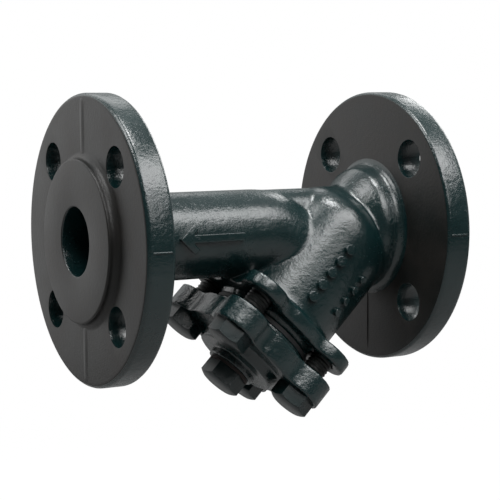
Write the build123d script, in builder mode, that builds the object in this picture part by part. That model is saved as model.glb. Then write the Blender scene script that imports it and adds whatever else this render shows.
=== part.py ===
from build123d import *
import os
from math import cos, radians, sin

os.makedirs("parts", exist_ok=True)

# A flanged Y strainer for a DN 32, PN 16 pipe line, in millimetres.
# The origin is the centre of the inlet face, +X points out of the inlet and +Z is up.
# The branch leaves the pipe axis downwards and towards the outlet.

# Driving dimensions of the pipe line
nominal_bore = 32
face_to_face = 180
flange_diameter = 136
flange_thickness = 18
raised_face_diameter = 76
raised_face_height = 4.5
flange_bolt_circle = 100
flange_hole_diameter = 19
flange_hole_count = 4
pipe_diameter = 42
inlet_bore_length = 20
passage_diameter = 34

# Driving dimensions of the branch, measured along its own axis from the pipe axis
branch_angle = 45
branch_from_inlet = 33
barrel_diameter = 60
barrel_bore = 48
barrel_top = -10
flange_start = 57
branch_flange_thickness = 7.5
joint_ring_width = 3.5
body_ring_height = 3.5
gasket_thickness = 2
cover_ring_height = 3
cover_plate_thickness = 12
cover_floor_drop = 3

# Driving dimensions of the cover screws
screw_spacing = 48
screw_diameter = 12
screw_head_height = 7.5
screw_across_flats = 18
screw_length = 27.5

# Driving dimensions of the screen
screen_diameter = 40
screen_sheet = 0.7
screen_ring_wall = 1
screen_ring_height = 5
seat_start = 6
seat_depth = 6

# Driving dimensions of the drain plug
plug_thread_diameter = 16.6
plug_across_flats = 19
plug_head_height = 8
plug_washer_thickness = 1.5
plug_reach = 10

# Clearances and edge rounding
running_clearance = 0.06
screw_hole_clearance = 0.75
plug_washer_clearance = 0.3
end_play = 0.2
bore_clearance = 0.5
head_bevel = 0.9
fit_margin = 0.8
overlap = 1

# Sizes that follow from the driving dimensions
bore_radius = nominal_bore / 2
passage_radius = passage_diameter / 2
flange_radius = flange_diameter / 2
raised_face_radius = raised_face_diameter / 2
pipe_radius = pipe_diameter / 2
barrel_radius = barrel_diameter / 2
joint_ring_radius = barrel_bore / 2 + joint_ring_width
flange_end = flange_start + branch_flange_thickness
gasket_start = flange_end + body_ring_height
cover_ring_start = gasket_start + gasket_thickness
cover_start = cover_ring_start + cover_ring_height
cover_end = cover_start + cover_plate_thickness
seat_end = seat_start + seat_depth
screen_seat_radius = screen_diameter / 2 + running_clearance
screw_radius = screw_diameter / 2

# Planes and axes of the branch: local x is the upper side, local z runs along the branch
leaning = Vector(-cos(radians(branch_angle)), 0, -sin(radians(branch_angle)))
upper_side = Vector(-sin(radians(branch_angle)), 0, cos(radians(branch_angle)))
crossing = Vector(-branch_from_inlet, 0, 0)
branch = Plane(origin=crossing, x_dir=upper_side, z_dir=leaning)
branch_section = Plane(origin=crossing, x_dir=leaning, z_dir=(0, -1, 0))
branch_axis = Axis(origin=crossing, direction=leaning)

# The outlet bends down by the branch angle and enters the barrel square to its axis
bend_radius = 30
port_along_branch = 30
bend_run = bend_radius * sin(radians(branch_angle))
bend_drop = bend_radius * (1 - cos(radians(branch_angle)))
bend_end_x = -branch_from_inlet - port_along_branch / sin(radians(branch_angle)) + bend_drop
bend_start_x = bend_end_x - bend_run
port_start = crossing + leaning * port_along_branch
port_run = (port_start - Vector(bend_end_x, 0, -bend_drop)).length

# Round plate with four lobes around the cover screws, shared by the body and the cover
lobe_disc_radius = 33
lobe_radius = 12
lobe_waist_radius = 8

with BuildSketch() as lobed_plate:
    Circle(lobe_disc_radius)
    with GridLocations(screw_spacing, screw_spacing, 2, 2):
        Circle(lobe_radius)
    fillet(lobed_plate.vertices(), lobe_waist_radius)

# Round the corner of a sketched outline that lies at the given point
def blend_at(outline, point, radius):
    corner = outline.vertices().sort_by_distance((point[0], point[1], 0))[0]
    fillet(corner, radius)


# Body casting: the neck stands out from the pipe by a height, and reaches from the flange by a length
neck_root_height = 10
neck_shoulder_height = 8.5
neck_shoulder_reach = 9
neck_foot_reach = 18
neck_reach = 28
neck_blend = 4
pipe_blend = 5
barrel_top_rounding = 18
barrel_root_blend = 3
rib_radius = 11
rib_reach = 8
rib_sink = 0.4
neck_root_radius = pipe_radius + neck_root_height
neck_shoulder_radius = pipe_radius + neck_shoulder_height
neck_shoulder_x = -(flange_thickness + neck_shoulder_reach)
neck_foot_x = -(flange_thickness + neck_foot_reach)
neck_inner_end_x = -(flange_thickness + neck_reach)
rib_top = pipe_radius - rib_sink
rib_start_x = bend_start_x - rib_reach
rib_end_x = neck_inner_end_x

with BuildPart() as body:
    # Inlet flange with its conical neck, turned about the pipe axis
    with BuildSketch(Plane.XZ) as inlet_profile:
        with BuildLine():
            Polyline(
                (0, 0),
                (0, raised_face_radius),
                (-raised_face_height, raised_face_radius),
                (-raised_face_height, flange_radius),
                (-flange_thickness, flange_radius),
                (-flange_thickness, neck_root_radius),
                (neck_shoulder_x, neck_shoulder_radius),
                (neck_foot_x, pipe_radius),
                (neck_inner_end_x, pipe_radius),
                (neck_inner_end_x, 0),
                close=True,
            )
        make_face()
        blend_at(inlet_profile, (-flange_thickness, neck_root_radius), neck_blend)
        blend_at(inlet_profile, (neck_shoulder_x, neck_shoulder_radius), neck_blend)
        blend_at(inlet_profile, (neck_foot_x, pipe_radius), pipe_blend)
    revolve(axis=Axis.X)
    # Outlet flange with the start of the straight pipe
    with BuildSketch(Plane.XZ) as outlet_profile:
        with BuildLine():
            Polyline(
                (-face_to_face, 0),
                (-face_to_face, raised_face_radius),
                (-face_to_face + raised_face_height, raised_face_radius),
                (-face_to_face + raised_face_height, flange_radius),
                (-face_to_face + flange_thickness, flange_radius),
                (-face_to_face + flange_thickness, pipe_radius),
                (bend_start_x, pipe_radius),
                (bend_start_x, 0),
                close=True,
            )
        make_face()
        blend_at(outlet_profile, (-face_to_face + flange_thickness, pipe_radius), pipe_blend)
    revolve(axis=Axis.X)
    # Outlet bend
    with BuildLine(Plane.XZ) as bend_path:
        bend = JernArc((bend_start_x, 0), (1, 0), bend_radius, -branch_angle)
        PolarLine(bend @ 1, port_run, -branch_angle)
    with BuildSketch(Plane.YZ.offset(bend_start_x)):
        Circle(pipe_radius)
    sweep(path=bend_path.wires()[0])
    # Barrel with its rounded upper end
    with BuildSketch(branch_section) as barrel_profile:
        with BuildLine():
            Polyline(
                (barrel_top, 0),
                (barrel_top, barrel_radius),
                (flange_start, barrel_radius),
                (flange_start, barrel_radius + barrel_root_blend),
                (flange_start + overlap, barrel_radius + barrel_root_blend),
                (flange_start + overlap, 0),
                close=True,
            )
        make_face()
        blend_at(barrel_profile, (barrel_top, barrel_radius), barrel_top_rounding)
        blend_at(barrel_profile, (flange_start, barrel_radius), barrel_root_blend - fit_margin)
    revolve(axis=branch_axis)
    # Rib that fills the notch between the bend and the barrel
    with BuildSketch(Plane.YZ.offset(rib_start_x)):
        with Locations((0, rib_top - rib_radius)):
            Circle(rib_radius)
    extrude(amount=rib_end_x - rib_start_x)
    # Lobed branch flange and its raised joint ring
    with BuildSketch(branch.offset(flange_start)):
        add(lobed_plate.sketch)
    extrude(amount=branch_flange_thickness)
    with BuildSketch(branch.offset(flange_end)):
        Circle(joint_ring_radius)
    extrude(amount=body_ring_height)
    # Inlet bore, then a wider cast passage that turns down into the screen seat
    with BuildSketch(Plane.YZ.offset(-inlet_bore_length)):
        Circle(bore_radius)
    extrude(amount=inlet_bore_length, mode=Mode.SUBTRACT)
    with BuildSketch(Plane.YZ.offset(-branch_from_inlet)):
        Circle(passage_radius)
    extrude(amount=branch_from_inlet - inlet_bore_length, mode=Mode.SUBTRACT)
    with Locations(crossing):
        Sphere(passage_radius, mode=Mode.SUBTRACT)
    with BuildSketch(branch):
        Circle(passage_radius)
    extrude(amount=seat_start, mode=Mode.SUBTRACT)
    with BuildSketch(branch.offset(seat_start)):
        Circle(screen_seat_radius)
    extrude(amount=seat_depth, mode=Mode.SUBTRACT)
    # Barrel bore, open at the branch flange
    with BuildSketch(branch.offset(seat_end)):
        Circle(barrel_bore / 2)
    extrude(amount=gasket_start - seat_end, mode=Mode.SUBTRACT)
    # Outlet bore along the pipe and through the bend
    with BuildSketch(Plane.YZ.offset(-face_to_face)):
        Circle(bore_radius)
    extrude(amount=bend_start_x + face_to_face, mode=Mode.SUBTRACT)
    with BuildSketch(Plane.YZ.offset(bend_start_x)):
        Circle(bore_radius)
    sweep(path=bend_path.wires()[0], mode=Mode.SUBTRACT)
    # Flange bolt holes, off the vertical by half their spacing
    for face_x in (-flange_thickness, -face_to_face):
        with BuildSketch(Plane.YZ.offset(face_x)):
            with PolarLocations(flange_bolt_circle / 2, flange_hole_count, 180 / flange_hole_count):
                Circle(flange_hole_diameter / 2)
        extrude(amount=flange_thickness, mode=Mode.SUBTRACT)
    # Tapped holes for the cover screws
    with BuildSketch(branch.offset(flange_start)):
        with GridLocations(screw_spacing, screw_spacing, 2, 2):
            Circle(screw_radius + running_clearance)
    extrude(amount=branch_flange_thickness, mode=Mode.SUBTRACT)

body.part.label = "body"
export_step(body.part, "parts/body.step")

# Cover casting
boss_start_radius = 23.5
boss_height = 5
boss_end_radius = 21
plug_boss_radius = 12.7
plug_boss_height = 4
boss_end = cover_end + boss_height
plug_boss_end = boss_end + plug_boss_height
cover_pocket_end = cover_end - cover_floor_drop
screen_end = cover_pocket_end - end_play
drain_hole_radius = plug_thread_diameter / 2 + running_clearance

with BuildPart() as cover:
    with BuildSketch(branch.offset(cover_start)):
        add(lobed_plate.sketch)
    extrude(amount=cover_plate_thickness)
    # Joint ring, raised middle and plug boss, turned about the branch axis
    with BuildSketch(branch_section):
        with BuildLine():
            Polyline(
                (cover_ring_start, 0),
                (cover_ring_start, joint_ring_radius),
                (cover_start + overlap, joint_ring_radius),
                (cover_end - overlap, boss_start_radius),
                (cover_end, boss_start_radius),
                (boss_end, boss_end_radius),
                (boss_end, plug_boss_radius),
                (plug_boss_end, plug_boss_radius),
                (plug_boss_end, 0),
                close=True,
            )
        make_face()
    revolve(axis=branch_axis)
    # Pocket for the lower end of the screen, and the drain hole
    with BuildSketch(branch.offset(cover_ring_start)):
        Circle(screen_seat_radius)
    extrude(amount=cover_pocket_end - cover_ring_start, mode=Mode.SUBTRACT)
    with BuildSketch(branch.offset(cover_pocket_end)):
        Circle(drain_hole_radius)
    extrude(amount=plug_boss_end - cover_pocket_end, mode=Mode.SUBTRACT)
    with BuildSketch(branch.offset(cover_start)):
        with GridLocations(screw_spacing, screw_spacing, 2, 2):
            Circle(screw_radius + screw_hole_clearance)
    extrude(amount=cover_plate_thickness, mode=Mode.SUBTRACT)

cover.part.label = "cover"
export_step(cover.part, "parts/cover.step")

# Flat gasket between the two joint rings
with BuildPart() as cover_gasket:
    with BuildSketch(branch.offset(gasket_start)):
        Circle(joint_ring_radius)
        Circle(barrel_bore / 2 + bore_clearance, mode=Mode.SUBTRACT)
    extrude(amount=gasket_thickness)

cover_gasket.part.label = "cover_gasket"
export_step(cover_gasket.part, "parts/cover_gasket.step")

# Rolled screen sheet, plain here because its perforations are fine, and its two end rings
screen_start = seat_start + end_play
sheet_radius = screen_diameter / 2 - screen_ring_wall

with BuildPart() as screen_tube:
    with BuildSketch(branch.offset(screen_start)):
        Circle(sheet_radius)
        Circle(sheet_radius - screen_sheet, mode=Mode.SUBTRACT)
    extrude(amount=screen_end - screen_start)

screen_tube.part.label = "screen_tube"
export_step(screen_tube.part, "parts/screen_tube.step")

ring_starts = {"screen_top_ring": screen_start, "screen_bottom_ring": screen_end - screen_ring_height}
for ring_name, ring_start in ring_starts.items():
    with BuildPart() as screen_ring:
        with BuildSketch(branch.offset(ring_start)):
            Circle(screen_diameter / 2)
            Circle(sheet_radius, mode=Mode.SUBTRACT)
        extrude(amount=screen_ring_height)
    screen_ring.part.label = ring_name
    export_step(screen_ring.part, "parts/" + ring_name + ".step")

# Drain plug and its sealing washer
plug_seat = plug_boss_end + plug_washer_thickness
plug_washer_radius = 11

with BuildPart() as drain_plug:
    with BuildSketch(branch.offset(plug_seat)):
        RegularPolygon(plug_across_flats / 2, 6, major_radius=False)
    extrude(amount=plug_head_height)
    chamfer(drain_plug.faces().sort_by(branch_axis)[-1].edges(), head_bevel)
    with BuildSketch(branch.offset(plug_seat - plug_washer_thickness - plug_reach)):
        Circle(plug_thread_diameter / 2)
    extrude(amount=plug_reach + plug_washer_thickness)

drain_plug.part.label = "drain_plug"
export_step(drain_plug.part, "parts/drain_plug.step")

with BuildPart() as drain_plug_washer:
    with BuildSketch(branch.offset(plug_boss_end)):
        Circle(plug_washer_radius)
        Circle(plug_thread_diameter / 2 + plug_washer_clearance, mode=Mode.SUBTRACT)
    extrude(amount=plug_washer_thickness)

drain_plug_washer.part.label = "drain_plug_washer"
export_step(drain_plug_washer.part, "parts/drain_plug_washer.step")

# Four hexagon cover screws
for number in range(4):
    side_up = 1 if number < 2 else -1
    side_near = 1 if number % 2 else -1
    screw_plane = branch.shift_origin(
        branch.from_local_coords((side_up * screw_spacing / 2, side_near * screw_spacing / 2, 0))
    )
    with BuildPart() as cover_screw:
        with BuildSketch(screw_plane.offset(cover_end)):
            RegularPolygon(screw_across_flats / 2, 6, major_radius=False)
        extrude(amount=screw_head_height)
        chamfer(cover_screw.faces().sort_by(branch_axis)[-1].edges(), head_bevel)
        with BuildSketch(screw_plane.offset(cover_end - screw_length)):
            Circle(screw_radius)
        extrude(amount=screw_length)
    cover_screw.part.label = "cover_screw_" + str(number + 1)
    export_step(cover_screw.part, "parts/cover_screw_" + str(number + 1) + ".step")
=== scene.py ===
from math import cos, pi, radians, sin, sqrt, tan

import bmesh
import bpy
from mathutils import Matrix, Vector


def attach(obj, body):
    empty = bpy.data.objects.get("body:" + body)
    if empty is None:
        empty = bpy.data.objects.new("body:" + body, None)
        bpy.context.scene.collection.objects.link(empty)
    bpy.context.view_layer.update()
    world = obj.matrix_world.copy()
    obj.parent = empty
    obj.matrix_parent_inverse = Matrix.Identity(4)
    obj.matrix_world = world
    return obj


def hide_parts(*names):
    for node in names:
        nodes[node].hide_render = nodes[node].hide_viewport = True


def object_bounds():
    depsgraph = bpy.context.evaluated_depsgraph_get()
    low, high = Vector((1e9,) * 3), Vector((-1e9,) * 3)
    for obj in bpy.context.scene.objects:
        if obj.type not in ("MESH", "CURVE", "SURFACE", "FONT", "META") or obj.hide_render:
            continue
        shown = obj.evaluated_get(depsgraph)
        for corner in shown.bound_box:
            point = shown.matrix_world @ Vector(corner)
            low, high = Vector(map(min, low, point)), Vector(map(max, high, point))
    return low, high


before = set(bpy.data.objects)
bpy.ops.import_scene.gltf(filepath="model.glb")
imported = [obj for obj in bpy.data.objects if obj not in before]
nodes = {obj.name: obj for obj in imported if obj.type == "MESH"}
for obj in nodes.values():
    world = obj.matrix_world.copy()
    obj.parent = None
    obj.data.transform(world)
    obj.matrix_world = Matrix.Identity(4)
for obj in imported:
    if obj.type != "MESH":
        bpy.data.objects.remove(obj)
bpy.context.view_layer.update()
MM = 0.001

# Pipe line sizes of the casting in millimetres, along the pipe axis from the inlet face at x = 0
outlet_face = -180
outlet_plate = -175.5
outlet_back = -162
outlet_joint = -156
inlet_joint = -24
inlet_back = -18
inlet_plate = -4.5
bore_radius = 16
pipe_radius = 21
neck_radius = 31
raised_radius = 38
flange_radius = 68
bolt_ring_radius = 50
bolt_hole_radius = 9.25

# The branch leaves the pipe axis here and leans down towards the outlet
crossing = Vector((-33, 0, 0)) * MM
leaning = Vector((-1, 0, -1)).normalized()
upper_side = Vector((-1, 0, 1)).normalized()
across = Vector((0, 1, 0))
inlet_way, outlet_way = Vector((1, 0, 0)), Vector((-1, 0, 0))

# Levels along the branch axis, and the layout of the cover screws
cover_end = 85 * MM
plug_seat = 95.5 * MM
screw_offset = 24 * MM


def on_branch(along, up=0.0, side=0.0):
    return crossing + leaning * along + upper_side * up + across * side


# Camera, at the photograph's place
def add_camera():
    data = bpy.data.cameras.new("photo_camera")
    data.lens = 106.23
    data.sensor_width = 36
    camera = bpy.data.objects.new("photo_camera", data)
    camera.location = (-0.44348, -0.62492, 0.06322)
    camera.rotation_euler = (radians(84.2838), radians(0.3123), radians(-29.6952))
    bpy.context.scene.collection.objects.link(camera)
    bpy.context.scene.camera = camera


# Node trees
class Wire:
    """A socket that takes part in plain arithmetic."""

    def __init__(self, graph, socket):
        self.graph = graph
        self.socket = socket

    def __add__(self, other):
        return self.graph.maths("ADD", self, other)

    __radd__ = __add__

    def __mul__(self, other):
        return self.graph.maths("MULTIPLY", self, other)

    __rmul__ = __mul__

    def __sub__(self, other):
        return self.graph.maths("SUBTRACT", self, other)

    def __rsub__(self, other):
        return self.graph.maths("SUBTRACT", other, self)

    def __truediv__(self, other):
        return self.graph.maths("DIVIDE", self, other)

    def __gt__(self, other):
        return self.graph.maths("GREATER_THAN", self, other)


class Graph:
    """A node tree that is filled by node() and by arithmetic on its wires."""

    def __init__(self, tree):
        self.tree = tree

    def fill(self, socket, value):
        if isinstance(value, Wire):
            self.tree.links.new(value.socket, socket)
        else:
            socket.default_value = value

    def node(self, kind, settings=None, values=None):
        made = self.tree.nodes.new(kind)
        for key, value in (settings or {}).items():
            setattr(made, key, value)
        for key, value in (values or {}).items():
            self.fill(made.inputs[key], value)
        return made

    def wire(self, kind, settings=None, values=None, output=0):
        return Wire(self, self.node(kind, settings, values).outputs[output])

    def maths(self, operation, first, second=0.0, third=0.5):
        return self.wire("ShaderNodeMath", {"operation": operation}, {0: first, 1: second, 2: third})

    def mix(self, mask, first, second):
        """A colour between two others; sockets 6 and 7 and output 2 are the node's colour ones."""
        return self.wire("ShaderNodeMix", {"data_type": "RGBA"}, {0: mask, 6: first, 7: second}, 2)

    def place(self):
        return self.wire("ShaderNodeTexCoord", output="Object")

    def apart(self, vector):
        """The three numbers of a vector, as wires."""
        parts = self.node("ShaderNodeSeparateXYZ", None, {0: vector})
        return [Wire(self, parts.outputs[number]) for number in range(3)]

    def together(self, x, y, z):
        return self.wire("ShaderNodeCombineXYZ", None, {0: x, 1: y, 2: z})

    def around(self, turn, radius, height):
        """A place about the Z axis, from its turn, its distance and its height."""
        return self.together(self.maths("COSINE", turn) * radius, self.maths("SINE", turn) * radius, height)

    def reach(self, first, second):
        """Distance from the origin of two numbers across each other."""
        return self.maths("SQRT", first * first + second * second)

    def noise(self, place, size, detail=2.0, roughness=0.5):
        return self.wire(
            "ShaderNodeTexNoise",
            None,
            {"Vector": place, "Scale": 1 / size, "Detail": detail, "Roughness": roughness},
        )

    def step(self, value, low, high):
        return self.wire("ShaderNodeMapRange", {"clamp": True}, {0: value, 1: low, 2: high, 3: 0.0, 4: 1.0})

    def bump(self, height, relief):
        return self.wire("ShaderNodeBump", None, {"Height": height, "Distance": relief, "Strength": 1.0})


def surface(name):
    material = bpy.data.materials.new(name)
    material.use_nodes = True
    material.node_tree.nodes.clear()
    return material, Graph(material.node_tree)


def finish_surface(graph, values):
    shader = graph.wire("ShaderNodeBsdfPrincipled", None, values)
    graph.node("ShaderNodeOutputMaterial", None, {"Surface": shader})


def colour(red, green, blue):
    return (red, green, blue, 1)


def cast_paint(name, deep, worn, roughness, relief, specular):
    """Gloss paint over a sand-cast skin: slow lumps, orange peel, sand grain and small pits."""
    material, graph = surface(name)
    place = graph.place()
    lumps = graph.noise(place, 9 * MM, 2)
    peel = graph.noise(place, 2.1 * MM, 3, 0.6)
    sand = graph.noise(place, 0.8 * MM, 2)
    pits = graph.step(graph.noise(place, 3.4 * MM, 4, 0.65), 0.66, 0.78)
    stain = graph.step(graph.noise(place, 30 * MM, 4, 0.6), 0.35, 0.75)
    height = lumps * 0.5 + peel * 0.3 + sand * 0.13 - pits * 0.2
    finish_surface(graph, {
        "Base Color": graph.mix(stain * 0.7 + pits * 0.3, deep, worn),
        "Roughness": graph.step(peel * 0.6 + stain * 0.4, 0.2, 0.8) * 0.16 + roughness,
        "Specular IOR Level": specular,
        "Normal": graph.bump(height, relief),
    })
    return material


def turned_paint(name, deep, worn, ring_pitch, roughness):
    """Thin matt paint over a face turned about the pipe axis, with faint tool rings."""
    material, graph = surface(name)
    place = graph.place()
    _, side, up = graph.apart(place)
    rings = graph.maths("SINE", graph.reach(side, up) * (2 * pi / ring_pitch))
    skin = graph.noise(place, 1.6 * MM, 4, 0.6)
    cloud = graph.noise(place, 22 * MM, 5, 0.6)
    scuffs = graph.step(graph.noise(place, 5 * MM, 5, 0.7), 0.6, 0.8)
    finish_surface(graph, {
        "Base Color": graph.mix(graph.step(cloud, 0.3, 0.7) * 0.7 + scuffs * 0.3, deep, worn),
        "Roughness": cloud * 0.18 + roughness,
        "Specular IOR Level": 0.4,
        "Normal": graph.bump(rings * 0.02 + skin * 0.5 + cloud * 0.5, 0.16 * MM),
    })
    return material


def plain_stock(name, shade, dull, metallic, roughness, grain, relief):
    """Bare steel, rubber or fibre, cloudy in tone and finely grained."""
    material, graph = surface(name)
    place = graph.place()
    fine = graph.noise(place, grain, 4, 0.6)
    cloud = graph.noise(place, 8 * MM, 3)
    finish_surface(graph, {
        "Base Color": graph.mix(cloud, shade, dull),
        "Metallic": metallic,
        "Roughness": fine * 0.15 + roughness,
        "Normal": graph.bump(fine, relief),
    })
    return material


deep_green, worn_green = colour(0.0018, 0.0125, 0.0132), colour(0.0060, 0.0225, 0.0232)
body_paint = cast_paint(
    "gloss_cast_paint", deep_green, worn_green, roughness=0.17, relief=0.62 * MM, specular=0.75)
cover_paint = cast_paint(
    "cover_cast_paint", deep_green, worn_green, roughness=0.17, relief=0.95 * MM, specular=0.75)
head_paint = cast_paint(
    "screw_head_paint", colour(0.0008, 0.0075, 0.0080), colour(0.0035, 0.0150, 0.0155),
    roughness=0.24, relief=0.2 * MM, specular=0.3)
face_paint = turned_paint(
    "matt_face_paint", colour(0.0045, 0.0060, 0.0056), colour(0.0210, 0.0175, 0.0155),
    ring_pitch=1.1 * MM, roughness=0.33)
thread_steel = plain_stock(
    "oiled_thread_steel", colour(0.004, 0.005, 0.005), colour(0.013, 0.014, 0.013),
    metallic=0.3, roughness=0.38, grain=0.7 * MM, relief=0.03 * MM)
screen_steel = plain_stock(
    "brushed_screen_steel", colour(0.5, 0.5, 0.49), colour(0.6, 0.6, 0.585),
    metallic=1.0, roughness=0.24, grain=0.5 * MM, relief=0.02 * MM)
rubber = plain_stock(
    "gasket_rubber", colour(0.008, 0.008, 0.009), colour(0.016, 0.016, 0.017),
    metallic=0.0, roughness=0.6, grain=1.1 * MM, relief=0.08 * MM)
fibre = plain_stock(
    "pressed_fibre", colour(0.016, 0.012, 0.011), colour(0.034, 0.022, 0.019),
    metallic=0.0, roughness=0.7, grain=0.6 * MM, relief=0.08 * MM)


# Mesh helpers
def show(name, mesh, body, materials=(), smooth=True):
    """Puts a mesh in the scene as a piece of one body; without materials it keeps its own."""
    if materials:
        mesh.materials.clear()
    for material in materials:
        mesh.materials.append(material)
    if smooth:
        mesh.shade_smooth()
    piece = bpy.data.objects.new(name, mesh)
    bpy.context.scene.collection.objects.link(piece)
    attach(piece, body)
    return piece


def mesh_of(shape, name, outward=True):
    """Ends the work on a shape: its faces are turned outwards and it becomes a mesh."""
    if outward:
        bmesh.ops.recalc_face_normals(shape, faces=shape.faces)
    mesh = bpy.data.meshes.new(name)
    shape.to_mesh(mesh)
    shape.free()
    return mesh


def merged_copy(node):
    shape = bmesh.new()
    shape.from_mesh(nodes[node].data)
    bmesh.ops.remove_doubles(shape, verts=shape.verts, dist=2e-6)
    return mesh_of(shape, node, outward=False)


def trimmed(mesh, point, away, cap=False):
    """Cuts off what lies beyond the plane on the side that away points to."""
    shape = bmesh.new()
    shape.from_mesh(mesh)
    everything = shape.verts[:] + shape.edges[:] + shape.faces[:]
    bmesh.ops.bisect_plane(shape, geom=everything, plane_co=point, plane_no=away, clear_outer=True)
    if cap:
        rim = [edge for edge in shape.edges if edge.is_boundary]
        bmesh.ops.triangle_fill(shape, edges=rim, use_beauty=True, normal=away)
    return mesh_of(shape, mesh.name, outward=cap)


def through_modifiers(mesh, modifiers):
    """The mesh as it comes out of a list of modifiers, each given as kind and settings."""
    carrier = bpy.data.objects.new("carrier", mesh)
    bpy.context.scene.collection.objects.link(carrier)
    for kind, settings in modifiers:
        modifier = carrier.modifiers.new(kind.lower(), kind)
        for key, value in settings.items():
            setattr(modifier, key, value)
    result = bpy.data.meshes.new_from_object(carrier.evaluated_get(bpy.context.evaluated_depsgraph_get()))
    bpy.data.objects.remove(carrier)
    return result


def cast_skin(mesh, voxel, rounds):
    """Melts the sharp creases of a solid as a sand mould does."""
    return through_modifiers(mesh, [
        ("REMESH", {"mode": "VOXEL", "voxel_size": voxel, "adaptivity": 0.0}),
        ("SMOOTH", {"factor": 0.5, "iterations": rounds}),
    ])


def joined(meshes):
    shape = bmesh.new()
    for mesh in meshes:
        shape.from_mesh(mesh)
    return mesh_of(shape, "joined", outward=False)


def circle(radius, points, middle=(0, 0)):
    x, y = middle
    turns = [2 * pi * n / points for n in range(points)]
    return [(x + radius * cos(turn), y + radius * sin(turn)) for turn in turns]


def bridge(shape, ring, after):
    """Faces between two closed rings of corners."""
    for n in range(len(ring)):
        m = (n + 1) % len(ring)
        shape.faces.new((ring[n], ring[m], after[m], after[n]))


def rounded(corners):
    """An open profile of (along, radius, rounding) corners in millimetres, with its arcs drawn."""
    points = [Vector(corners[0][:2])]
    for before, corner, after in zip(corners, corners[1:], corners[2:]):
        spot, size = Vector(corner[:2]), corner[2]
        if not size:
            points.append(spot)
            continue
        back = (Vector(before[:2]) - spot).normalized()
        ahead = (Vector(after[:2]) - spot).normalized()
        half = back.angle(ahead) / 2
        centre = spot + (back + ahead).normalized() * (size / sin(half))
        first, last = spot + back * (size / tan(half)), spot + ahead * (size / tan(half))
        steps = 4 if size < 2 else 6
        for step in range(steps + 1):
            spoke = (first - centre).lerp(last - centre, step / steps)
            points.append(centre + spoke.normalized() * size)
    points.append(Vector(corners[-1][:2]))
    return points


def turned_flange(corners, drill_from, drill_to):
    """A flange turned about the pipe axis, with its four bolt holes drilled between two levels."""
    shape = bmesh.new()
    rings = [
        [shape.verts.new((along * MM, y * MM, z * MM)) for y, z in circle(radius, 144)]
        for along, radius in rounded(corners)]
    for ring, after in zip(rings, rings[1:] + rings[:1]):
        bridge(shape, ring, after)
    plate = mesh_of(shape, "turned_flange")
    shape = bmesh.new()
    for y, z in circle(bolt_ring_radius, 8)[1::2]:
        outline = circle(bolt_hole_radius, 48, (y, z))
        ends = [
            [shape.verts.new((x * MM, a * MM, b * MM)) for a, b in outline] for x in (drill_from, drill_to)]
        for end in ends:
            shape.faces.new(end)
        bridge(shape, *ends)
    drills = bpy.data.objects.new("bolt_hole_drills", mesh_of(shape, "bolt_hole_drills"))
    bpy.context.scene.collection.objects.link(drills)
    drilled = through_modifiers(plate, [
        ("BOOLEAN", {"operation": "DIFFERENCE", "solver": "EXACT", "object": drills}),
        ("BEVEL", {"width": 0.4 * MM, "segments": 2, "limit_method": "ANGLE", "angle_limit": radians(62)}),
    ])
    bpy.data.objects.remove(drills)
    return drilled


def from_axis(point):
    return sqrt(point.y ** 2 + point.z ** 2) / MM


def is_matt_face(face):
    """True on the turned faces of the flanges, and False on their rims, bores and the casting's skin."""
    along, radius, slope = face.center.x / MM, from_axis(face.center), abs(face.normal.x)
    hair, front_depth, front_slope, back_slope = 0.1, 8, 0.35, 0.96
    on_flange = along < outlet_back + hair or along > inlet_back - hair
    at_front = along < outlet_face + front_depth or along > -front_depth
    # The margins leave out the rounded corners at the bore, the rim and the necks
    inside_rim = radius < flange_radius - 1.2
    neck_edge = neck_radius + 4.2 if along > outlet_face / 2 else pipe_radius + 5.2
    front = at_front and bore_radius + 0.3 < radius and inside_rim and slope > front_slope
    step = at_front and raised_radius - 1 < radius < raised_radius + 4
    back = on_flange and neck_edge < radius and inside_rim and slope > back_slope
    return front or step or back


def crease_flats(mesh):
    """Keeps the flat flange faces flat in the shading, up to the rims of their bolt holes."""
    flat = [abs(face.normal.x) > 0.9999 for face in mesh.polygons]
    hole_reach = 12
    sides = {}
    for face in mesh.polygons:
        for key in face.edge_keys:
            sides.setdefault(key, []).append(flat[face.index])
    for edge in mesh.edges:
        middle = (mesh.vertices[edge.vertices[0]].co + mesh.vertices[edge.vertices[1]].co) / 2
        near_hole = abs(from_axis(middle) - bolt_ring_radius) < hole_reach
        shared = sides[edge.key]
        if near_hole and any(shared) and not all(shared):
            edge.use_edge_sharp = True


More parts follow.
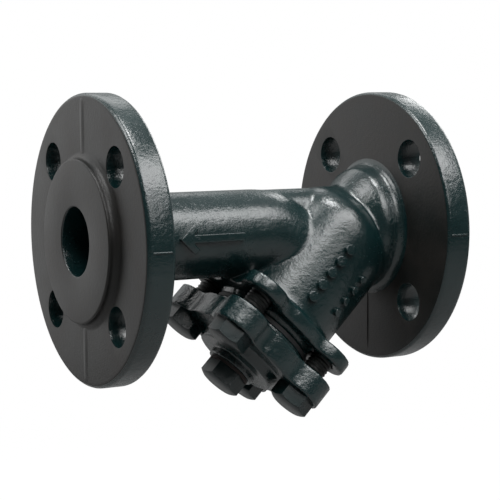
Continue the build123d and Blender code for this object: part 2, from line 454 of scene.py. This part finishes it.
# Casting of the body: crisp turned flanges, and a melted skin between them
def make_body():
    # The skin is melted with a lap past both joints, and then cut back to a seam just past them
    lap, seam = 3.6, 0.4
    middle = merged_copy("body")
    for margin, cap in ((lap, True), (seam, False)):
        middle = trimmed(middle, Vector((inlet_joint + margin, 0, 0)) * MM, inlet_way, cap)
        middle = trimmed(middle, Vector((outlet_joint - margin, 0, 0)) * MM, outlet_way, cap)
        if cap:
            middle = cast_skin(middle, 0.95 * MM, 14)
    outlet = turned_flange([
        (outlet_joint, bore_radius, 0), (outlet_face, bore_radius, 0.8),
        (outlet_face, raised_radius, 0.9), (outlet_plate, raised_radius, 3),
        (outlet_plate, flange_radius, 2.4), (outlet_back, flange_radius, 1.8),
        (outlet_back, pipe_radius, 5), (outlet_joint - 0.5, pipe_radius - 0.03, 0),
        (outlet_joint, pipe_radius - 0.85, 0)], outlet_face - 5, outlet_joint + 1)
    inlet = turned_flange([
        (inlet_joint, neck_radius - 1.8, 0), (inlet_joint + 0.5, neck_radius - 0.98, 0),
        (inlet_back, neck_radius, 4), (inlet_back, flange_radius, 1.8),
        (inlet_plate, flange_radius, 2.4), (inlet_plate, raised_radius, 3),
        (0, raised_radius, 0.9), (0, bore_radius, 0.8), (inlet_joint, bore_radius, 0)], inlet_back - 1.4, 5)
    mesh = joined([middle, inlet, outlet])
    piece = show("strainer_body", mesh, "body", [body_paint, face_paint], smooth=False)
    for face in mesh.polygons:
        face.material_index = 1 if is_matt_face(face) else 0
    mesh.shade_smooth()
    mesh.set_sharp_from_angle(angle=radians(38))
    crease_flats(mesh)
    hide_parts("body")


def make_cover():
    mesh = cast_skin(merged_copy("cover"), 0.6 * MM, 5)
    piece = show("strainer_cover", mesh, "cover", [cover_paint])
    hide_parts("cover")


# Trees of geometry nodes
def new_tree(name, lengths, others):
    """A tree with named lengths and other inputs, its graph, and its inputs as wires."""
    tree = bpy.data.node_groups.new(name, "GeometryNodeTree")
    for label, value in lengths.items():
        tree.interface.new_socket(label, in_out="INPUT", socket_type="NodeSocketFloat").default_value = value
    for label, kind in others.items():
        tree.interface.new_socket(label, in_out="INPUT", socket_type="NodeSocket" + kind)
    tree.interface.new_socket("Geometry", in_out="OUTPUT", socket_type="NodeSocketGeometry")
    graph = Graph(tree)
    inputs = graph.node("NodeGroupInput")
    return tree, graph, {socket.name: Wire(graph, socket) for socket in inputs.outputs if socket.name}


def from_tree(tree, values):
    """A plain mesh from a tree of geometry nodes, with its inputs set by name and no empty material."""
    seed = bpy.data.meshes.new("seed")
    seed.from_pydata([(0, 0, 0)], [], [])
    carrier = bpy.data.objects.new("carrier", seed)
    bpy.context.scene.collection.objects.link(carrier)
    modifier = carrier.modifiers.new("shape", "NODES")
    modifier.node_group = tree
    for item in tree.interface.items_tree:
        if item.in_out == "INPUT" and item.name in values:
            modifier[item.identifier] = values[item.name]
    mesh = bpy.data.meshes.new_from_object(carrier.evaluated_get(bpy.context.evaluated_depsgraph_get()))
    bpy.data.objects.remove(carrier)
    used = [material for material in mesh.materials if material]
    places = [used.index(mesh.materials[face.material_index]) for face in mesh.polygons]
    mesh.materials.clear()
    for material in used:
        mesh.materials.append(material)
    for face, place in zip(mesh.polygons, places):
        face.material_index = place
    return mesh


def laid_on_branch(mesh, along, up=0.0, side=0.0):
    """Moves a shape made on the Z axis to the branch, with Z along the branch, and closes its seams."""
    for vertex in mesh.vertices:
        x, y, z = vertex.co
        vertex.co = on_branch(along + z, up + x, side + y)
    mesh.update()
    shape = bmesh.new()
    shape.from_mesh(mesh)
    bmesh.ops.remove_doubles(shape, verts=shape.verts, dist=2e-6)
    bmesh.ops.recalc_face_normals(shape, faces=shape.faces)
    shape.to_mesh(mesh)
    shape.free()


# Hexagon screws and plug, from one tree
def hexagon_tree():
    tree, graph, size = new_tree("hexagon_screw", {
        "Across Flats": 18 * MM,
        "Head Height": 7.5 * MM,
        "Shank Radius": 6 * MM,
        "Shank Length": 27.5 * MM,
        "Pitch": 1.75 * MM,
        "Thread Depth": 0.55 * MM,
        "Plain Length": 3 * MM,
    }, {"Head Paint": "Material", "Thread Steel": "Material"})

    def bent_cylinder(points, rings, reshape):
        """A drum of unit size whose rings reshape() draws in or out, and moves along."""
        drum = graph.wire(
            "GeometryNodeMeshCylinder",
            {"fill_type": "TRIANGLE_FAN"},
            {"Vertices": points, "Side Segments": rings, "Radius": 1.0, "Depth": 1.0},
        )
        x, y, z = graph.apart(graph.wire("GeometryNodeInputPosition"))
        turn = graph.maths("ARCTAN2", y, x)
        radius, height = reshape(turn, graph.reach(x, y), z + 0.5)
        moved = graph.around(turn, radius, height)
        return graph.wire("GeometryNodeSetPosition", None, {"Geometry": drum, "Position": moved})

    def head(turn, inside, level):
        # The drum's levels 0, a half and 1 become the seat, the foot of the bevel and the end face
        face_share, bevel_slope = 0.93, 0.5
        half_flat = size["Across Flats"] * 0.5
        sector = graph.maths("ABSOLUTE", graph.maths("WRAP", turn, pi / 6, -pi / 6))
        outline = half_flat / graph.maths("COSINE", sector)
        face_rim = half_flat * face_share
        upper, on_face = level > 0.45, level > 0.8
        radius = outline + on_face * (face_rim - outline)
        drop = (outline - face_rim) * bevel_slope
        height = size["Head Height"] * upper - drop * upper * (1 - on_face)
        return radius * graph.maths("MINIMUM", inside, 1.0), height

    def shank(turn, inside, level):
        # Thread turns up to the plain length under the head, and a pointed tip
        tip_share, tip_slope, tip_cut = 0.045, 22, 1.3
        length = size["Shank Length"]
        down = level * length
        phase = graph.maths("FRACT", down / size["Pitch"] + turn * (0.5 / pi))
        tooth = graph.maths("ABSOLUTE", phase - 0.5) * 2
        plain = down > length - size["Plain Length"]
        tip = graph.step((tip_share - level) * tip_slope, 0.0, 1.0)
        cut = size["Thread Depth"] * tooth * (1 - plain) + size["Thread Depth"] * tip_cut * tip
        return (size["Shank Radius"] - cut) * inside, down - length

    both = graph.node("GeometryNodeJoinGeometry")
    for points, rings, reshape, material in (
            (72, 2, head, "Head Paint"), (36, 150, shank, "Thread Steel")):
        part = graph.wire("GeometryNodeSetMaterial", None, {
            "Geometry": bent_cylinder(points, rings, reshape), "Material": size[material]})
        tree.links.new(part.socket, both.inputs[0])
    real = graph.wire("GeometryNodeRealizeInstances", None, {0: Wire(graph, both.outputs[0])})
    graph.node("NodeGroupOutput", None, {0: real})
    return tree


def make_screws():
    tree = hexagon_tree()
    finishes = {"Head Paint": head_paint, "Thread Steel": thread_steel}
    plug = {
        "Across Flats": 19 * MM,
        "Head Height": 8 * MM,
        "Shank Radius": 8.3 * MM,
        "Shank Length": 11.5 * MM,
        "Pitch": 1.4 * MM,
        "Thread Depth": 0.5 * MM,
        "Plain Length": 1.8 * MM,
    }
    fasteners = []
    for number, (up, side) in enumerate(((1, -1), (1, 1), (-1, -1), (-1, 1)), start=1):
        place = (cover_end, up * screw_offset, side * screw_offset)
        fasteners.append((f"cover_screw_{number}", f"screw_{number}", "screw_steel", {}, place))
    fasteners.append(("drain_plug", "plug", "plug_steel", plug, (plug_seat, 0, 0)))
    for node, body, slot, sizes, place in fasteners:
        mesh = from_tree(tree, {**finishes, **sizes})
        laid_on_branch(mesh, *place)
        piece = show("hexagon_" + node, mesh, body)
        mesh.set_sharp_from_angle(angle=radians(28))
        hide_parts(node)


# Perforated screen: a sheet of cells, each with a round hole, rolled into a tube
def screen_cell(pitch, row_pitch, hole, sheet):
    """One cell: a rectangle one pitch wide with a round hole, open at its outer edges."""
    sides = 8
    quarters = ((1, 1), (-1, 1), (-1, -1), (1, -1))
    middles = ((2, 1), (1, 2), (-1, 2), (-2, 1), (-2, -1), (-1, -2), (1, -2), (2, -1))
    shape = bmesh.new()
    holes = []
    for level in (sheet / 2, -sheet / 2):
        turns = [pi / sides + 2 * pi * n / sides for n in range(sides)]
        hole_ring = [shape.verts.new((hole * cos(turn), hole * sin(turn), level)) for turn in turns]
        edge_ring = [shape.verts.new((x * pitch / 4, y * row_pitch / 4, level)) for x, y in middles]
        corners = [shape.verts.new((x * pitch / 2, y * row_pitch / 2, level)) for x, y in quarters]
        holes.append(hole_ring)
        for n in range(sides):
            after = (n + 1) % sides
            loop = [hole_ring[n], edge_ring[n], edge_ring[after], hole_ring[after]]
            if n % 2 == 0:
                loop.insert(2, corners[n // 2])
            shape.faces.new(loop)
    bridge(shape, *holes)
    cell = bpy.data.objects.new("screen_cell", mesh_of(shape, "screen_cell", outward=False))
    bpy.context.scene.collection.objects.link(cell)
    return cell


def make_screen():
    tube_radius, sheet, hole = 18.65 * MM, 0.6 * MM, 0.85 * MM
    start, end = 7.2 * MM, 80.6 * MM
    around, rows = 44, 28
    pitch, row_pitch = 2 * pi * tube_radius / around, (end - start) / rows
    tree, graph, size = new_tree("rolled_screen", {
        "Tube Radius": tube_radius,
        "Pitch": pitch,
        "Row Pitch": row_pitch,
        "Start": start,
    }, {"Cell": "Object", "Steel": "Material"})
    points = graph.wire("GeometryNodePoints", None, {0: around * rows})
    index = graph.wire("GeometryNodeInputIndex")
    row = graph.maths("FLOOR", index / around)
    column = index - row * around
    shift = graph.maths("MODULO", row, 2.0) * 0.5
    spot = graph.together(
        (column + shift) * size["Pitch"], (row + 0.5) * size["Row Pitch"] + size["Start"], 0.0)
    points = graph.wire("GeometryNodeSetPosition", None, {"Geometry": points, "Position": spot})
    cell = graph.wire("GeometryNodeObjectInfo", None, {"Object": size["Cell"]}, "Geometry")
    cells = graph.wire("GeometryNodeInstanceOnPoints", None, {"Points": points, "Instance": cell})
    flat = graph.wire("GeometryNodeRealizeInstances", None, {0: cells})
    flat = graph.wire("GeometryNodeMergeByDistance", None, {"Geometry": flat, "Distance": 0.02 * MM})
    x, y, z = graph.apart(graph.wire("GeometryNodeInputPosition"))
    turn = x / size["Tube Radius"]
    radius = size["Tube Radius"] + z
    rolled = graph.around(turn, radius, y)
    tube = graph.wire("GeometryNodeSetPosition", None, {"Geometry": flat, "Position": rolled})
    tube = graph.wire("GeometryNodeMergeByDistance", None, {"Geometry": tube, "Distance": 0.02 * MM})
    tube = graph.wire("GeometryNodeRealizeInstances", None, {0: tube})
    tube = graph.wire("GeometryNodeSetMaterial", None, {"Geometry": tube, "Material": size["Steel"]})
    graph.node("NodeGroupOutput", None, {0: tube})
    cell = screen_cell(pitch, row_pitch, hole, sheet)
    mesh = from_tree(tree, {"Cell": cell, "Steel": screen_steel})
    bpy.data.objects.remove(cell)
    laid_on_branch(mesh, 0.0)
    piece = show("perforated_screen", mesh, "screen", smooth=False)
    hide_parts("screen_tube")


# Raised generic marks, wrapped onto the casting
def wrapped_mark(name, outlines, radius, height, centre, axis, facing):
    """Flat outlines in millimetres, laid on a cylinder about the axis and raised where it faces that way."""
    upward = (facing - axis * facing.dot(axis)).normalized()
    sideways = axis.cross(upward)
    shape = bmesh.new()
    for outline in outlines:
        base = shape.faces.new([shape.verts.new((x * MM, y * MM, 0)) for x, y in outline])
        raised = bmesh.ops.extrude_face_region(shape, geom=[base])
        for item in raised["geom"]:
            if isinstance(item, bmesh.types.BMVert):
                item.co.z = 1.0
    # Cuts one millimetre apart let the flat shape follow the curve
    reach = int(max(abs(y) for outline in outlines for _, y in outline))
    for number in range(-reach, reach + 1):
        everything = shape.verts[:] + shape.edges[:] + shape.faces[:]
        bmesh.ops.bisect_plane(shape, geom=everything, plane_co=(0, number * MM, 0), plane_no=(0, 1, 0))
    root = -1.2 * MM
    for vertex in shape.verts:
        along, arc, level = vertex.co
        turn = arc / radius
        far = radius + (height if level > 0.5 else root)
        vertex.co = centre + axis * along + (upward * cos(turn) + sideways * sin(turn)) * far
    mesh = cast_skin(mesh_of(shape, name), 0.28 * MM, 4)
    show(name, mesh, "body", [body_paint])


def make_marks():
    arrow = [
        (-17, 0), (-9, 7), (-6.6, 4.9), (-10.3, 1.7), (17, 1.7),
        (17, -1.7), (-10.3, -1.7), (-6.6, -4.9), (-9, -7)]
    near_pipe, near_barrel = Vector((-120, 0, 0)) * MM, 30 * MM
    wrapped_mark(
        "flow_arrow", [arrow], pipe_radius * MM, 2.1 * MM, near_pipe, inlet_way, Vector((0, -1, 0.02)))
    wrapped_mark(
        "upper_casting_pips", [circle(2.6, 16, (7.5 * n - 15, 0)) for n in range(5)], near_barrel, 2.1 * MM,
        on_branch(32 * MM), leaning, Vector((0, -0.96, 0.1)) + upper_side * 0.1)
    wrapped_mark(
        "lower_casting_pips", [circle(2.1, 16, (7 * n - 9, 0)) for n in range(4)], near_barrel, 1.9 * MM,
        on_branch(31 * MM), leaning, Vector((0, -0.9, 0)) - upper_side * 0.36)


# Mould line left across both flange rims, level with the pipe axis
def make_mould_lines():
    line_length, half_width = 9.4, 0.5
    outlines = []
    for start in (-173.2, -16.4):
        end = start + line_length
        outlines.append([(start, -half_width), (end, -half_width), (end, half_width), (start, half_width)])
    for name, side in (("near_mould_line", -1), ("far_mould_line", 1)):
        wrapped_mark(
            name, outlines, flange_radius * MM, 0.35 * MM, Vector((0, 0, 0)), inlet_way, across * side)


# Parting ridges left by the mould on the flange faces, each a low swell on the vertical middle line
def make_ridges():
    lengthwise, crosswise, sunk = 16, 12, 0.05
    # Name, level of the face, way out of it, lowest and highest point, half width and height
    ridges = (
        ("outlet_upper_ridge", outlet_plate, -1, 39, 66, 3.2, 0.4),
        ("outlet_lower_ridge", outlet_plate, -1, -66, -39, 3.2, 0.4),
        ("inlet_back_ridge", inlet_back, -1, -64, -33, 0.7, 0.5),
        ("outlet_back_ridge", outlet_back, 1, -64, -26, 0.7, 0.5),
    )
    for name, face, way, low, high, half_width, height in ridges:
        shape = bmesh.new()
        rings = []
        for row in range(lengthwise + 1):
            z = low + (high - low) * row / lengthwise
            fade = sin(pi * row / lengthwise) ** 0.35 if 0 < row < lengthwise else 0
            outline = []
            for step in range(crosswise + 1):
                share = step / crosswise * 2 - 1
                rise = height * fade * cos(share * pi / 2) ** 2 - sunk
                outline.append((face + way * rise, share * half_width))
            outline += [(face - way, half_width), (face - way, -half_width)]
            rings.append([shape.verts.new((x * MM, y * MM, z * MM)) for x, y in outline])
        for ring, after in zip(rings, rings[1:]):
            bridge(shape, ring, after)
        shape.faces.new(rings[0])
        shape.faces.new(rings[-1])
        show(name, mesh_of(shape, name), "body", [face_paint])


# Surroundings
def make_stage():
    # Far enough down for the cover, its screws and the plug to be drawn off without touching the floor
    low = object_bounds()[0][2] - 190 * MM
    reach = 6.0
    floor_mesh = bpy.data.meshes.new("studio_floor")
    corners = [(-reach, -reach, low), (reach, -reach, low), (reach, reach, low), (-reach, reach, low)]
    floor_mesh.from_pydata(corners, [], [(0, 1, 2, 3)])
    material, graph = surface("pale_floor")
    place = graph.place()
    east, north, _ = graph.apart(place)
    # Rises from 0 to 1 between 0.3 m and 0.9 m from the middle of the pipe
    open_floor = graph.step(graph.reach(east + 0.09, north), 0.3, 0.9)
    seen = Wire(graph, graph.node("ShaderNodeLightPath").outputs["Is Camera Ray"])
    # Pale and nearly evenly bright where it is looked at, with the object's shadow left in
    tone = graph.mix(graph.noise(place, 40 * MM, 2), colour(0.21, 0.21, 0.21), colour(0.22, 0.22, 0.22))
    lit = graph.wire("ShaderNodeBsdfDiffuse", None, {"Color": graph.mix(seen, tone, colour(0.8, 0.8, 0.8))})
    plain = graph.wire("ShaderNodeEmission", None, {"Color": colour(1, 1, 1), "Strength": 1.0})
    evenly = seen * (open_floor * 0.12 + 0.88)
    floor_look = graph.wire("ShaderNodeMixShader", None, {0: evenly, 1: lit, 2: plain})
    graph.node("ShaderNodeOutputMaterial", None, {"Surface": floor_look})
    floor_mesh.materials.append(material)
    floor = bpy.data.objects.new("studio_floor", floor_mesh)
    bpy.context.scene.collection.objects.link(floor)


def area_lamp(name, place, target, width, height, watts):
    data = bpy.data.lights.new(name, "AREA")
    data.shape = "RECTANGLE"
    data.size = width
    data.size_y = height
    data.energy = watts
    lamp = bpy.data.objects.new(name, data)
    lamp.location = place
    lamp.rotation_euler = (Vector(target) - Vector(place)).to_track_quat("-Z", "Y").to_euler()
    bpy.context.scene.collection.objects.link(lamp)


def make_light():
    world = bpy.data.worlds.new("studio_light")
    bpy.context.scene.world = world
    world.use_nodes = True
    world.node_tree.nodes.clear()
    graph = Graph(world.node_tree)
    path = graph.node("ShaderNodeLightPath")
    seen, mirrored, through = (
        Wire(graph, path.outputs[ray]) for ray in ("Is Camera Ray", "Is Glossy Ray", "Is Transmission Ray"))
    # A pale backdrop stands behind the object, and the room in front of it is dim
    east, north, _ = graph.apart(graph.wire("ShaderNodeTexCoord", output="Generated"))
    backdrop = graph.step(east * 0.49 + north * 0.87, -0.25, 0.25) * 0.34 + 0.05
    share = graph.maths("MAXIMUM", graph.maths("MAXIMUM", seen, through), backdrop + mirrored * 0.05)
    shade = graph.mix(share, colour(0, 0, 0), colour(1, 1, 1))
    background = graph.wire("ShaderNodeBackground", None, {"Color": shade, "Strength": 1.0})
    graph.node("ShaderNodeOutputWorld", None, {"Surface": background})
    middle = (-0.09, 0, -0.01)
    area_lamp("overhead_window", (0.12, -0.85, 1.1), middle, 1.7, 0.7, 24)
    area_lamp("front_window", (0.16, -1.08, 0.54), middle, 0.6, 0.34, 1.8)
    area_lamp("left_window", (-0.85, 0.15, 1.05), middle, 0.7, 0.6, 8)
    area_lamp("upper_window", (-0.05, -0.05, 1.2), middle, 0.4, 0.4, 8)
    area_lamp("back_window", (0.1, 1.0, 0.9), middle, 0.9, 0.5, 2)
    area_lamp("right_window", (0.9, 0.5, 0.6), middle, 0.7, 0.5, 5)
    area_lamp("face_window", (-0.52, 0.61, 0.2), (-0.18, 0, 0.2), 0.8, 0.82, 1.35)


bpy.context.scene.view_settings.view_transform = "Standard"
add_camera()
make_body()
make_cover()
make_screws()
make_screen()
make_marks()
make_mould_lines()
make_ridges()

plain_finishes = {
    "cover_gasket": rubber,
    "screen_top_ring": screen_steel,
    "screen_bottom_ring": screen_steel,
    "drain_plug_washer": fibre,
}
for node, finish in plain_finishes.items():
    for holder in nodes[node].material_slots:
        holder.material = finish

make_stage()
make_light()
